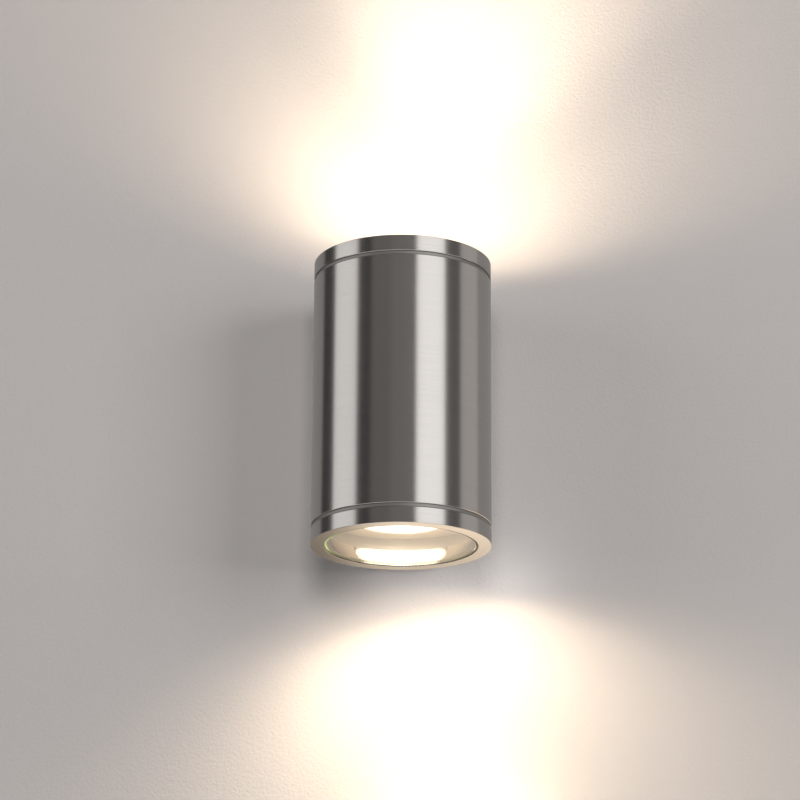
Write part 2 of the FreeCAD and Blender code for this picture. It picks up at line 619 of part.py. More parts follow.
def make_terminal_block():
    """Moulded block with a bore per pole, screw wells and two fixing holes."""
    body = tube_body("terminal_block")
    middle = f"(({BLOCK_FRONT} + {BLOCK_BACK}) / 2)"
    top = f"({SHELF_TOP} + block_height)"
    pad(body, "Block", "XY_Plane", SHELF_TOP, top,
        (round_box, "block_width / 2", "block_depth / 2", "block_corner", "0", middle))
    cut(body, "Bores", "XZ_Plane", BLOCK_FRONT, BLOCK_BACK,
        *[(circle, pole, POLE_LEVEL, "clamp_diameter / 2 + clamp_play") for pole in pole_places()])
    cut(body, "Wells", "XY_Plane", POLE_LEVEL, top,
        *[(circle, pole, place, "clamp_head / 2 + well_play")
          for pole in pole_places() for place in clamp_screw_places()])
    fixing = [f"{side}pole_pitch / 2" for side in ("", "-")]
    cut(body, "FixingHoles", "XY_Plane", SHELF_TOP, top,
        *[(circle, place, middle, "small_screw / 2 + screw_clearance") for place in fixing])
    cut(body, "FixingSeats", "XY_Plane", f"{SHELF_TOP} + block_screw_seat", top,
        *[(circle, place, middle, "small_head / 2 + well_play") for place in fixing])


def make_terminal_clamps():
    """Three brass tubes that take the leads, each tapped for two screws."""
    body = tube_body("terminal_clamps")
    low = f"{BLOCK_FRONT} + clamp_inset"
    high = f"{BLOCK_BACK} - clamp_inset"
    outlines = []
    for pole in pole_places():
        outlines.append((circle, pole, POLE_LEVEL, "clamp_diameter / 2"))
        outlines.append((circle, pole, POLE_LEVEL, "clamp_bore / 2"))
    pad(body, "Tubes", "XZ_Plane", low, high, *outlines)
    cut(body, "Taps", "XY_Plane", POLE_LEVEL, f"{POLE_LEVEL} + clamp_diameter / 2",
        *[(circle, pole, place, "clamp_screw / 2 + thread_play")
          for pole in pole_places() for place in clamp_screw_places()])


def make_terminal_screws():
    """Six clamp screws, two to a pole."""
    body = tube_body("terminal_screws")
    seat = f"({POLE_LEVEL} + clamp_diameter / 2 + clamp_inset)"
    places = [(pole, place) for pole in pole_places() for place in clamp_screw_places()]
    pad(body, "Shanks", "XY_Plane", f"{POLE_LEVEL} + clamp_inset", seat,
        *[(circle, pole, place, "clamp_screw / 2") for pole, place in places])
    top = f"({seat} + clamp_head_height)"
    pad(body, "Heads", "XY_Plane", seat, top,
        *[(circle, pole, place, "clamp_head / 2") for pole, place in places])
    rounded(body, "HeadEdges", "clamp_head_round", circle_at("z", top, "clamp_head / 2"))
    slots(body, "Slots", f"{top} - slot_depth", top, places, "clamp_head / 2")


def make_block_screws():
    """Two screws that fix the terminal block to the shelf."""
    body = tube_body("block_screws")
    middle = f"(({BLOCK_FRONT} + {BLOCK_BACK}) / 2)"
    seat = f"({SHELF_TOP} + block_screw_seat)"
    for name, low, high, size in (("Shanks", f"-{SHELF_TOP} - block_screw_end", seat, "small_screw / 2"),
                                  ("Heads", seat, f"{seat} + small_head_height", "small_head / 2")):
        pad(body, name, "XY_Plane", low, high,
            (circle, "pole_pitch / 2", middle, size), (circle, "-pole_pitch / 2", middle, size))
    top = f"({seat} + small_head_height)"
    rounded(body, "HeadEdges", "head_round", circle_at("z", top, "small_head / 2"))
    slots(body, "Slots", f"{top} - slot_depth", top,
          (("pole_pitch / 2", middle), ("-pole_pitch / 2", middle)), "small_head / 2")


def make_earth_point():
    """Earth tag and its screw on the carrier's foot."""
    tag = tube_body("earth_tag")
    tag_face = f"({FOOT_FRONT} - tag_thickness)"
    hole = "earth_screw / 2 + screw_clearance"
    barrel_top = "(earth_height - tag_diameter / 2)"
    pad(tag, "Eye", "XZ_Plane", tag_face, FOOT_FRONT,
        (circle, "pole_pitch", "earth_height", "tag_diameter / 2"),
        (circle, "pole_pitch", "earth_height", hole))
    pad(tag, "Neck", "XZ_Plane", tag_face, FOOT_FRONT,
        (box, "pole_pitch - barrel_diameter / 2", "pole_pitch + barrel_diameter / 2",
         barrel_top, f"{barrel_top} + tag_thickness"))
    pad(tag, "Barrel", "XY_Plane", f"{barrel_top} - barrel_length", barrel_top,
        (circle, "pole_pitch", f"{FOOT_FRONT} - barrel_diameter / 2", "barrel_diameter / 2"))
    screw = tube_body("earth_screw")
    pad(screw, "Shank", "XZ_Plane", tag_face, f"{FOOT_BACK}",
        (circle, "pole_pitch", "earth_height", "earth_screw / 2"))
    front = f"({tag_face} - earth_head_height)"
    pad(screw, "Head", "XZ_Plane", front, tag_face,
        (circle, "pole_pitch", "earth_height", "earth_head / 2"))
    rounded(screw, "HeadEdge", "head_round", circle_at("y", front, "earth_head / 2"))
    cut(screw, "Slot", "XZ_Plane", front, f"{front} + slot_depth",
        (box, "pole_pitch - earth_head / 2", "pole_pitch + earth_head / 2",
         "earth_height - slot_width / 2", "earth_height + slot_width / 2"))


# ---- Leads ----

INNER_SHARE = 0.45
END_SHARE = 0.85


def lead_path(points):
    """Straight runs joined by tangent arcs, each arc as large as its two runs allow."""
    edges = []
    radii = []
    start = points[0]
    for index in range(1, len(points) - 1):
        before, corner, after = points[index - 1:index + 2]
        into = (corner - before).normalize()
        out = (after - corner).normalize()
        turn = into.getAngle(out)
        first_share = END_SHARE if index == 1 else INNER_SHARE
        last_share = END_SHARE if index == len(points) - 2 else INNER_SHARE
        trim = min(first_share * (corner - before).Length, last_share * (after - corner).Length)
        bisector = (out - into).normalize()
        radius = trim / math.tan(turn / 2)
        middle = corner + bisector * (radius / math.cos(turn / 2) - radius)
        arc_start = corner - into * trim
        arc_end = corner + out * trim
        edges.append(Part.LineSegment(start, arc_start).toShape())
        edges.append(Part.Arc(arc_start, middle, arc_end).toShape())
        radii.append(radius)
        start = arc_end
    edges.append(Part.LineSegment(start, points[-1]).toShape())
    return Part.Wire(edges), radii


def make_lead(label, *route):
    """Insulated lead along a route of x, y, z expressions in the tube's frame."""
    points = [Vector(*[value(place) for place in point]) for point in route]
    path, radii = lead_path(points)
    radius = value("lead_diameter / 2")
    section = Part.Wire(Part.makeCircle(radius, points[0], points[1] - points[0]))
    lead = doc.addObject("Part::Feature", label)
    lead.Label = label
    lead.Shape = path.makePipeShell([section], True, False)
    lead.Placement = Placement(Vector(0, -value(AXIS_OFFSET), 0), Rotation())
    print(f"{label}: {path.Length:.1f} mm long, volume / section x length "
          f"{lead.Shape.Volume / (math.pi * radius ** 2 * path.Length):.4f}, "
          f"radii {', '.join(f'{size:.1f}' for size in radii)}")


def make_leads():
    """Live and neutral leads from each lampholder to the block, and the earth lead."""
    start_y = "stem_diameter / 2"
    end_y = BLOCK_FRONT + " + clamp_inset"
    near_block = f"{BLOCK_FRONT} - lead_straight"
    pin = "pin_pitch / 2"
    make_lead("upper_live_lead",
              (f"-{pin}", start_y, "lead_height"),
              (f"-{pin}", "holder_width / 2", "lead_height"),
              ("-pole_pitch + lead_spread", near_block, POLE_LEVEL),
              ("-pole_pitch + lead_spread", end_y, POLE_LEVEL))
    make_lead("upper_neutral_lead",
              (pin, start_y, "lead_height"),
              (pin, "holder_width / 2 - lead_stagger", "lead_height"),
              ("lead_spread", near_block, POLE_LEVEL),
              ("lead_spread", end_y, POLE_LEVEL))
    for label, pin_place, pole in (("lower_live_lead", f"-{pin}", "-pole_pitch - lead_spread"),
                                   ("lower_neutral_lead", pin, "-lead_spread")):
        make_lead(label,
                  (pin_place, start_y, "-lead_height"),
                  (pin_place, "holder_width / 2 - 2 * lead_stagger", "-lead_height"),
                  (pole, "lead_hole_place - lead_lean", "-lead_height / 2"),
                  (pole, "lead_hole_place + lead_lean", "lead_rise"),
                  (pole, near_block, POLE_LEVEL),
                  (pole, end_y, POLE_LEVEL))
    barrel_end = "earth_height - tag_diameter / 2 - barrel_length"
    barrel_y = f"{FOOT_FRONT} - barrel_diameter / 2"
    make_lead("earth_lead",
              ("pole_pitch", barrel_y, barrel_end),
              ("pole_pitch", barrel_y, POLE_LEVEL),
              ("pole_pitch", f"{BLOCK_BACK} - clamp_inset", POLE_LEVEL))


# ---- Saddle, cable entry and wall plate ----

def make_saddle():
    """Open-backed casting that seats on the tube and stands on the wall."""
    body = tube_body("wall_saddle")
    half_width = "(saddle_width / 2)"
    inner_width = f"({half_width} - saddle_wall)"
    inner_height = "(saddle_height / 2 - saddle_wall)"
    seat_r = f"({OUTER_R} + seat_clearance)"
    back_r = f"({seat_r} + saddle_wall)"
    pad(body, "Block", "XZ_Plane", f"sqrt({OUTER_R} ^ 2 - {half_width} ^ 2)", RIM,
        (round_box, half_width, "saddle_height / 2", "saddle_corner"))
    cavity = sketch_on(body, "XY_Plane", inner_height, "Cavity")
    side_y = f"sqrt({back_r} ^ 2 - {inner_width} ^ 2)"
    seat_back = Part.Circle(Vector(0, 0, 0), Vector(0, 0, 1), value(back_r))
    right_angle = math.atan2(value(side_y), value(inner_width))
    arc = cavity.addGeometry(Part.ArcOfCircle(seat_back, right_angle, math.pi - right_angle))
    corners = [(f"-{inner_width}", side_y), (f"-{inner_width}", RIM), (inner_width, RIM), (inner_width, side_y)]
    points = [Vector(value(x), value(y), 0) for x, y in corners]
    sides = [cavity.addGeometry(Part.LineSegment(first, last)) for first, last in zip(points, points[1:])]
    for first, last in zip([arc, *sides], [*sides, arc]):
        cavity.addConstraint(Sketcher.Constraint("Coincident", first, 2, last, 1))
    tie_point(cavity, arc, 3, "0", "0")
    tie(cavity, "Radius", arc, expression=back_r)
    tie_point(cavity, sides[0], 2, *corners[1])
    tie_point(cavity, sides[1], 2, *corners[2])
    for side, sign in ((sides[0], "-"), (sides[2], "")):
        point = 1 if sign else 2
        tie(cavity, "DistanceX", -1, 1, side, point, expression=f"{sign}{inner_width}")
    hollow = body.newObject("PartDesign::Pocket", "Cavity")
    hollow.Profile = cavity
    hollow.setExpression("Length", resolved(f"2 * {inner_height}"))
    pad(body, "Web", "XZ_Plane", f"{seat_r} + saddle_wall / 3", WEB_FACE,
        (box, "-web_width / 2", "web_width / 2", "-web_height / 2", "web_height / 2"))
    beyond = "(saddle_height / 2 + overshoot)"
    cut(body, "Seat", "XY_Plane", f"-{beyond}", beyond,
        (circle, "0", "0", seat_r))
    half_spacing = "saddle_screw_spacing / 2"
    screw = "saddle_screw / 2 + saddle_hole_play"
    cut(body, "FrontHoles", "XZ_Plane", f"{OUTER_R} - overshoot", WEB_FACE,
        (circle, "0", half_spacing, screw), (circle, "0", f"-{half_spacing}", screw),
        (circle, "0", "cable_height", "grommet_diameter / 2 + grommet_play"))
    cut(body, "FixingHoles", "XY_Plane", f"-{beyond}", beyond,
        (circle, "0", f"{AXIS_OFFSET} - fixing_place", "fixing_screw / 2 + fixing_hole_play"))


def make_saddle_screws():
    """Two screws from inside the saddle, through the tube, into the carrier's nuts."""
    body = tube_body("saddle_screws")
    end = f"{FOOT_FRONT} - saddle_nut_height - screw_end"
    for name, low, high, size in (("Shanks", end, WEB_FACE, "saddle_screw / 2"),
                                  ("Heads", WEB_FACE, f"{WEB_FACE} + saddle_head_height", "saddle_head / 2")):
        pad(body, name, "XZ_Plane", low, high,
            (circle, "0", "saddle_screw_spacing / 2", size),
            (circle, "0", "-saddle_screw_spacing / 2", size))
    back = f"({WEB_FACE} + saddle_head_height)"
    rounded(body, "HeadEdges", "saddle_head_round", circle_at("y", back, "saddle_head / 2"))
    cut(body, "Sockets", "XZ_Plane", f"{back} - saddle_key_depth", back,
        (hexagon, "0", "saddle_screw_spacing / 2", "saddle_key"),
        (hexagon, "0", "-saddle_screw_spacing / 2", "saddle_key"))


def make_cable_grommet():
    """Rubber grommet through the saddle and the tube, with a flange inside each."""
    body = tube_body("cable_grommet")
    inner = f"(sqrt({BORE_R} ^ 2 - (grommet_flange / 2) ^ 2) - seat_clearance)"
    for name, low, high, size in (
            ("InnerFlange", f"{inner} - grommet_flange_height", inner, "grommet_flange / 2"),
            ("Sleeve", inner, WEB_FACE, "grommet_diameter / 2"),
            ("OuterFlange", WEB_FACE, f"{WEB_FACE} + grommet_flange_height", "grommet_flange / 2")):
        pad(body, name, "XZ_Plane", low, high, (circle, "0", "cable_height", size))
    cut(body, "Bore", "XZ_Plane", f"{inner} - grommet_flange_height",
        f"{WEB_FACE} + grommet_flange_height", (circle, "0", "cable_height", "cable_bore / 2"))


def make_wall_gasket():
    """Foam gasket between the saddle's rim and the wall."""
    body = tube_body("wall_gasket")
    outer_inset = "gasket_inset"
    inner_inset = "(saddle_wall - gasket_inset)"
    pad(body, "Gasket", "XZ_Plane", RIM, AXIS_OFFSET,
        (round_box, f"(saddle_width / 2 - {outer_inset})", f"(saddle_height / 2 - {outer_inset})",
         f"(saddle_corner - {outer_inset})"),
        (round_box, f"(saddle_width / 2 - {inner_inset})", f"(saddle_height / 2 - {inner_inset})",
         f"(saddle_corner - {inner_inset})"))


def make_wall_plate():
    """Steel plate for the wall, with a tapped tab at its top and bottom."""
    body = tube_body("wall_plate")
    front = f"({AXIS_OFFSET} - plate_thickness)"
    half = "(plate_height / 2)"
    pad(body, "Plate", "XZ_Plane", front, AXIS_OFFSET,
        (round_box, "plate_width / 2", half, "plate_corner"),
        (circle, "0", "wall_hole_spacing / 2", "wall_hole / 2"),
        (circle, "0", "-wall_hole_spacing / 2", "wall_hole / 2"),
        (circle, "0", "cable_height", "plate_cable_hole / 2"))
    for side in ("", "-"):
        low, high = sorted((f"{side}({half} - relief_height)", f"{side}({half} + overshoot)"), key=value)
        cut(body, "UpperReliefs" if side == "" else "LowerReliefs", "XZ_Plane", front, AXIS_OFFSET,
            (box, "tab_width / 2", "tab_width / 2 + relief_width", low, high),
            (box, "-tab_width / 2 - relief_width", "-tab_width / 2", low, high))
    reach = f"{AXIS_OFFSET} - tab_reach"
    pad(body, "UpperTab", "XZ_Plane", reach, AXIS_OFFSET,
        (box, "-tab_width / 2", "tab_width / 2", f"{half} - plate_thickness", half))
    pad(body, "LowerTab", "XZ_Plane", reach, AXIS_OFFSET,
        (box, "-tab_width / 2", "tab_width / 2", f"-{half}", f"-{half} + plate_thickness"))
    rounded(body, "Bends", "plate_bend_radius", line_at(x="0", y=AXIS_OFFSET, z=half))
    cut(body, "Taps", "XY_Plane", f"-{half} - overshoot", f"{half} + overshoot",
        (circle, "0", f"{AXIS_OFFSET} - fixing_place", "fixing_screw / 2 + thread_play"))


def make_fixing_screws():
    """Two screws that hold the saddle to the wall plate's tabs, from above and below."""
    body = tube_body("fixing_screws")
    place = f"{AXIS_OFFSET} - fixing_place"
    face = "(saddle_height / 2)"
    tip = f"({face} - fixing_reach)"
    top = f"({face} + fixing_head_height)"
    for name, low, high, size in (("UpperShank", tip, face, "fixing_screw / 2"),
                                  ("UpperHead", face, top, "fixing_head / 2"),
                                  ("LowerShank", f"-{face}", f"-{tip}", "fixing_screw / 2"),
                                  ("LowerHead", f"-{top}", f"-{face}", "fixing_head / 2")):
        pad(body, name, "XY_Plane", low, high, (circle, "0", place, size))
    for side, name in (("", "Upper"), ("-", "Lower")):
        rounded(body, name + "HeadEdge", "head_round", circle_at("z", f"{side}{top}", "fixing_head / 2"))
        low, high = sorted((f"{side}({top} - fixing_key_depth)", f"{side}{top}"), key=value)
        cut(body, name + "Socket", "XY_Plane", low, high, (hexagon, "0", place, "fixing_key"))


# ---- Assembly ----

make_body_tube()
make_saddle()
make_saddle_screws()
make_cable_grommet()
make_wall_gasket()
make_wall_plate()
make_fixing_screws()
make_lamp_carrier()
make_carrier_nuts()
make_terminal_block()
make_terminal_clamps()
make_terminal_screws()
make_block_screws()
make_earth_point()
make_holder_screws()
make_leads()
for tube_end in ("upper", "lower"):
    make_ring(tube_end)
    make_ring_seal(tube_end)
    make_glass(tube_end)
    make_glass_seal(tube_end)
    make_baffle(tube_end)
    make_lamp_body(tube_end)
    make_lamp_cap(tube_end)
    make_lamp_pins(tube_end)
    make_lamp_lens(tube_end)
    make_lampholder(tube_end)
    make_holder_contacts(tube_end)
doc.recompute()


# ---- Check and write ----

def faults():
    """Every failed object, empty shape, and cut that removed nothing."""
    found = []
    for item in doc.Objects:
        if "Invalid" in item.State or "Error" in item.State:
            found.append(f"{item.Label}: {item.State}")
        if item.TypeId in ("PartDesign::Pocket", "PartDesign::Groove", "PartDesign::Fillet"):
            if item.BaseFeature.Shape.Volume - item.Shape.Volume < TOUCH ** 2:
                found.append(f"{item.Label} cuts nothing")
    return found


nodes = [item for item in doc.Objects
         if item.TypeId in ("PartDesign::Body", "Part::Torus", "Part::Feature")]
problems = faults()
for node in nodes:
    if node.Shape.isNull() or not node.Shape.isValid() or not node.Shape.Solids:
        problems.append(f"{node.Label}: bad shape")
if problems:
    sys.exit("\n".join(problems))

os.makedirs("parts", exist_ok=True)
for node in nodes:
    node.Shape.exportStep(f"parts/{node.Label}.step")
print(len(nodes), "nodes written")
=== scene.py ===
"""Tube wall light: finishes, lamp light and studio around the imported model. Metres, in the row's frame."""

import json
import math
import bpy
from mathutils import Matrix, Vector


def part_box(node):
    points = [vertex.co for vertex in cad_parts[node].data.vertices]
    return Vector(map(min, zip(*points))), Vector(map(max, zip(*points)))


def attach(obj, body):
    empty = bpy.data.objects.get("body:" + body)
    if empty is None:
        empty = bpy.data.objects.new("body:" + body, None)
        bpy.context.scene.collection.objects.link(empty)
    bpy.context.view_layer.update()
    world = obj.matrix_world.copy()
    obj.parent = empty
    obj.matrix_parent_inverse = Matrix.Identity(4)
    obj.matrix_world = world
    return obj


bl_info = {
    "name": "Tube Wall Light",
    "version": (1, 0, 0),
    "blender": (4, 5, 0),
    "location": "View3D > Sidebar > Wall Light",
    "description": "Finishes, threads, lamp light and studio for an up-and-down tube wall light",
    "category": "Object",
}

import bpy
import numpy as np
from bpy.props import FloatProperty, FloatVectorProperty, IntProperty, PointerProperty
from bpy.types import Operator, Panel, PropertyGroup
from mathutils import Matrix, Vector

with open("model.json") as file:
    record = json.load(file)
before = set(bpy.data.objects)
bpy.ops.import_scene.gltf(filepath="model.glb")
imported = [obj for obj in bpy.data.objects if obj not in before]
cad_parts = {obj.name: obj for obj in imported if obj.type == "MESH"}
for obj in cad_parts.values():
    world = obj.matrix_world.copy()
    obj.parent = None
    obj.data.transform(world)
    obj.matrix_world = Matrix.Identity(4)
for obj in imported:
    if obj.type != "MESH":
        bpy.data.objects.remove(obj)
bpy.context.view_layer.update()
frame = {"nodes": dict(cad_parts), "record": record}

NODES = frame["nodes"]
SLOTS = {part["node"]: part["material_slot"] for part in frame["record"]["subparts"]}
ENDS = {"upper": 1, "lower": -1}


def middle(node):
    """Centre of a CAD node's box."""
    low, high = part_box(node)
    return (low + high) / 2


RING_LOW, RING_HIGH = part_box("upper_ring")
AXIS_Y = middle("body_tube").y
TUBE_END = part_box("body_tube")[1].z
FACE = RING_HIGH.z
SKIRT_END = RING_LOW.z
LENS_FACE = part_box("upper_lamp_lens")[1].z
LENS_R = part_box("upper_lamp_lens")[1].x
GLASS_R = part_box("upper_glass")[1].x
CENTRE = (0, AXIS_Y, 0)

# Rings of a lens in radians per metre, and the shares of its radius where its bright core ends
LENS_RIPPLE = 7000
LENS_CORE = (0.52, 0.43)

# Zones of an end ring: radii, and depths under its outer face
LAND_R = 0.0410
BORE_R = 0.0460
NECK_R = 0.0496
LEDGE_DEPTH = 0.0048
NECK_DEPTH = 0.0090
GROOVE_DEPTH = 0.0101
BORE_DEPTH = 0.0105

# Radius of the walls that the threads stand on, and turns that stay bare: inside, outside and in all
THREAD_R = 0.04668
BARE_INNER = 0.7
BARE_OUTER = 1.7
BARE_TURNS = 2.8

# Half widths of a ridge at its foot and its crest, as shares of the pitch
HALF_FOOT = 0.42
HALF_CREST = 0.08

# Colour sockets of a Mix node: first colour, second colour, result
MIX_FIRST = 6
MIX_SECOND = 7
MIX_RESULT = 2


# ---- Sizes and colours that a user would change ----

class CameraSettings(PropertyGroup):
    """Where the camera stands and what it aims at."""

    distance: FloatProperty(name="Distance", description="From the camera to the middle of the tube",
                            default=1.7626, unit="LENGTH")
    elevation: FloatProperty(name="Elevation", description="Height of the camera's line above the horizon",
                             default=math.radians(-17.897), subtype="ANGLE")
    aim: FloatVectorProperty(name="Aim", description="Point aimed at, from the middle of the tube",
                             default=(-0.001063, 0.0, 0.002526), subtype="TRANSLATION")
    roll: FloatProperty(name="Roll", description="Turn of the camera about its line of sight",
                        default=math.radians(0.347), subtype="ANGLE")
    lens: FloatProperty(name="Lens", description="Focal length in millimetres on a 36 mm sensor", default=141.73)


class LightSettings(PropertyGroup):
    """Strengths of the studio's soft lights and of the lamps."""

    room: FloatProperty(name="Room light", description="Level of the light that falls on wall and matt pieces",
                        default=1.0, min=0.0)
    panels: FloatProperty(name="Panels", description="Level of the panels that the metal mirrors",
                          default=1.0, min=0.0)
    beam: FloatProperty(name="Beam", description="Power of the narrow beam of each lamp, in watts",
                        default=16.0, min=0.0)
    spill: FloatProperty(name="Spill", description="Power of the wide light of each lamp, in watts",
                         default=6.0, min=0.0)
    lean: FloatProperty(name="Lean", description="How far each beam leans to the right of the tube's line",
                        default=math.radians(12), subtype="ANGLE")
    lens: FloatProperty(name="Lens", description="Brightness of each lit lens, where 1 is white",
                        default=14.0, min=0.0)
    inside: FloatProperty(name="Inside", description="Level of the light that the glass sends back on the baffle",
                          default=4.0, min=0.0)
    lamp_colour: FloatVectorProperty(name="Lamp colour", description="Colour of the lamps' light",
                                     default=(1.0, 0.80, 0.56), subtype="COLOR")


class FinishSettings(PropertyGroup):
    """Main colours of the finishes."""

    steel: FloatVectorProperty(name="Brushed metal", description="Colour of the tube and end rings",
                               default=(0.63, 0.60, 0.575), subtype="COLOR")
    baffle: FloatVectorProperty(name="Baffle", description="Colour of the spun baffles",
                                default=(0.80, 0.685, 0.54), subtype="COLOR")
    wall: FloatVectorProperty(name="Wall", description="Colour of the painted wall",
                              default=(0.60, 0.58, 0.58), subtype="COLOR")
    floor: FloatVectorProperty(name="Floor", description="Colour of the floor",
                               default=(0.66, 0.64, 0.62), subtype="COLOR")


class ThreadSettings(PropertyGroup):
    """Screw threads of the end rings and of the tube's mouths."""

    pitch: FloatProperty(name="Pitch", description="Rise of the thread in one turn", default=0.0015, unit="LENGTH")
    height: FloatProperty(name="Height", description="How far a ridge stands out of its wall",
                          default=0.00028, unit="LENGTH")
    steps: IntProperty(name="Steps", description="Rows of points in one turn of a ridge", default=96, min=24)


# ---- Shader maths ----

class Value:
    """An output of a material's nodes. Arithmetic on it adds Math nodes."""

    def __init__(self, tree, output):
        self.tree = tree
        self.output = output

    def math(self, operation, *others):
        """Math node on this value and up to two others."""
        return add_node(self.tree, "ShaderNodeMath", {"operation": operation}, dict(enumerate((self, *others))))

    def __add__(self, other):
        return self.math("ADD", other)

    def __sub__(self, other):
        return self.math("SUBTRACT", other)

    def __mul__(self, other):
        return self.math("MULTIPLY", other)

    def __rsub__(self, first):
        return add_node(self.tree, "ShaderNodeMath", {"operation": "SUBTRACT"}, {0: first, 1: self})

    __radd__ = __add__
    __rmul__ = __mul__

    def size(self):
        """The value without its sign."""
        return self.math("ABSOLUTE")

    def root(self):
        """Square root."""
        return self.math("SQRT")

    def ramp(self, low, high):
        """Smooth step from 0 at low to 1 at high; low may be the larger."""
        return add_node(self.tree, "ShaderNodeMapRange", {"interpolation_type": "SMOOTHSTEP"},
                        {"Value": self, "From Min": low, "From Max": high})


def add_node(tree, kind, settings=None, inputs=None, output=0):
    """Add a node: its settings first, then the values or links of its sockets. Gives one of its outputs."""
    node = tree.nodes.new(kind)
    for name, setting in (settings or {}).items():
        setattr(node, name, setting)
    for name, given in (inputs or {}).items():
        if isinstance(given, Value):
            tree.links.new(given.output, node.inputs[name])
        else:
            node.inputs[name].default_value = given
    return Value(tree, node.outputs[output])


class Finish:
    """A material with one Principled shader, whose patterns follow the piece's own coordinates."""

    def __init__(self, name, **constants):
        self.material = bpy.data.materials.new(name)
        self.material.use_nodes = True
        self.tree = self.material.node_tree
        self.tree.nodes.clear()
        self.shader = self.tree.nodes.new("ShaderNodeBsdfPrincipled")
        self.out = self.tree.nodes.new("ShaderNodeOutputMaterial")
        self.tree.links.new(self.shader.outputs[0], self.out.inputs["Surface"])
        for socket, given in constants.items():
            self.set(socket.replace("_", " "), given)
        self.place = self.node("ShaderNodeTexCoord", output="Object")
        split = {"Vector": self.place}
        self.x = self.node("ShaderNodeSeparateXYZ", None, split, "X")
        self.y = self.node("ShaderNodeSeparateXYZ", None, split, "Y")
        self.z = self.node("ShaderNodeSeparateXYZ", None, split, "Z")

    def node(self, kind, settings=None, inputs=None, output=0):
        """Any node of this material."""
        return add_node(self.tree, kind, settings, inputs, output)

    def set(self, socket, given):
        """Set or link a socket of the shader. A colour of three numbers gets an alpha of 1."""
        target = self.shader.inputs[socket]
        if isinstance(given, Value):
            self.tree.links.new(given.output, target)
        elif hasattr(given, "__len__") and len(given) == 3:
            target.default_value = (*given, 1.0)
        else:
            target.default_value = given

    def from_axis(self):
        """Distance from the tube's axis."""
        across = self.y - AXIS_Y
        return (self.x * self.x + across * across).root()

    def joined(self, x, y, z):
        """Vector of three values."""
        return self.node("ShaderNodeCombineXYZ", None, {"X": x, "Y": y, "Z": z})

    def noise(self, vector, scale=1.0, detail=2.0, roughness=0.5):
        """Soft random pattern between 0 and 1."""
        return self.node("ShaderNodeTexNoise", {"normalize": True},
                         {"Vector": vector, "Scale": scale, "Detail": detail, "Roughness": roughness})

    def cells(self, scale, output="Distance"):
        """Cell pattern: the distance to the nearest of scattered points, or its colour."""
        return self.node("ShaderNodeTexVoronoi", {"feature": "F1"},
                         {"Vector": self.place, "Scale": scale}, output)

    def mix(self, share, first, second):
        """Colour between two colours."""
        inputs = {"Factor": share}
        for key, given in ((MIX_FIRST, first), (MIX_SECOND, second)):
            inputs[key] = given if isinstance(given, Value) else (*given[:3], 1.0)
        return self.node("ShaderNodeMix", {"data_type": "RGBA"}, inputs, MIX_RESULT)

    def relief(self, height, distance):
        """Small relief from a height pattern."""
        self.set("Normal", self.node("ShaderNodeBump", None,
                                     {"Height": height, "Distance": distance, "Strength": 1.0}))


def shade(colour, share):
    """A colour made lighter or darker by a share."""
    return tuple(min(1.0, part * share) for part in colour)


def speckled(name, scale, detail, colours, rough, bump, **constants):
    """Finish whose colour, roughness and relief follow one soft random pattern.

    colours are the darkest and the palest, rough is the least roughness and its spread.
    """
    finish = Finish(name, **constants)
    pattern = finish.noise(finish.place, scale, detail)
    finish.set("Base Color", finish.mix(pattern, *colours))
    finish.set("Roughness", rough[0] + pattern * rough[1])
    finish.relief(pattern, bump)
    return finish


def finish_slots(made):
    """Put each finish on every CAD node of its slot."""
    for node, slot in SLOTS.items():
        if slot in made:
            mesh = NODES[node].data
            mesh.materials.clear()
            mesh.materials.append(made[slot].material)


# ---- Meshes ----

def mesh_piece(name, points, faces, body, slot, finish):
    """New piece from arrays of points and faces, riding on a body."""
    mesh = bpy.data.meshes.new(name)
    mesh.from_pydata(points.reshape(-1, 3).tolist(), [], faces.tolist())
    mesh.update()
    mesh.materials.append(finish.material)
    piece = bpy.data.objects.new(name, mesh)
    bpy.context.scene.collection.objects.link(piece)
    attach(piece, body)
    return piece


def grid_faces(rows, columns):
    """Four-cornered faces of a grid whose last column joins the first."""
    down = np.arange(rows - 1)[:, None]
    across = np.arange(columns)[None, :]
    beside = (across + 1) % columns
    return np.stack([down * columns + across, down * columns + beside,
                     (down + 1) * columns + beside, (down + 1) * columns + across], -1).reshape(-1, 4)


def helix_ridge(radius, outward, start, turns, phase, settings):
    """Thread ridge carried along a right-handed helix about the tube's axis.

    At the angle a, the ridge's middle is at height start + pitch * a / 360 degrees. Its section is a
    triangle with a flat crest: four points at (distance from the wall, height), the two at the foot a
    little inside the wall. The section shrinks to almost nothing over the first and last eighth turn.
    """
    rows = int(turns * settings.steps)
    share = np.linspace(0.0, 1.0, rows)[:, None]
    angle = phase + 2 * math.pi * turns * share
    size = np.clip(np.minimum(share, 1 - share) * turns * 8, 0.02, 1.0)
    bite = settings.height / 6
    reach = np.array([-bite, settings.height, settings.height, -bite])
    width = np.array([-HALF_FOOT, -HALF_CREST, HALF_CREST, HALF_FOOT]) * settings.pitch
    from_wall = np.where(reach > 0, reach * size, reach)
    r = radius + outward * from_wall
    z = start + settings.pitch * turns * share + width * size
    points = np.stack([r * np.sin(angle), AXIS_Y - r * np.cos(angle), z + 0 * r], -1)
    last = (rows - 1) * 4
    caps = np.array([[0, 1, 2, 3], [last + 3, last + 2, last + 1, last]])
    faces = np.vstack([grid_faces(rows, 4), caps])
    if outward < 0:
        faces = faces[:, ::-1]
    return points, faces


# ---- Finishes of the metal shell ----

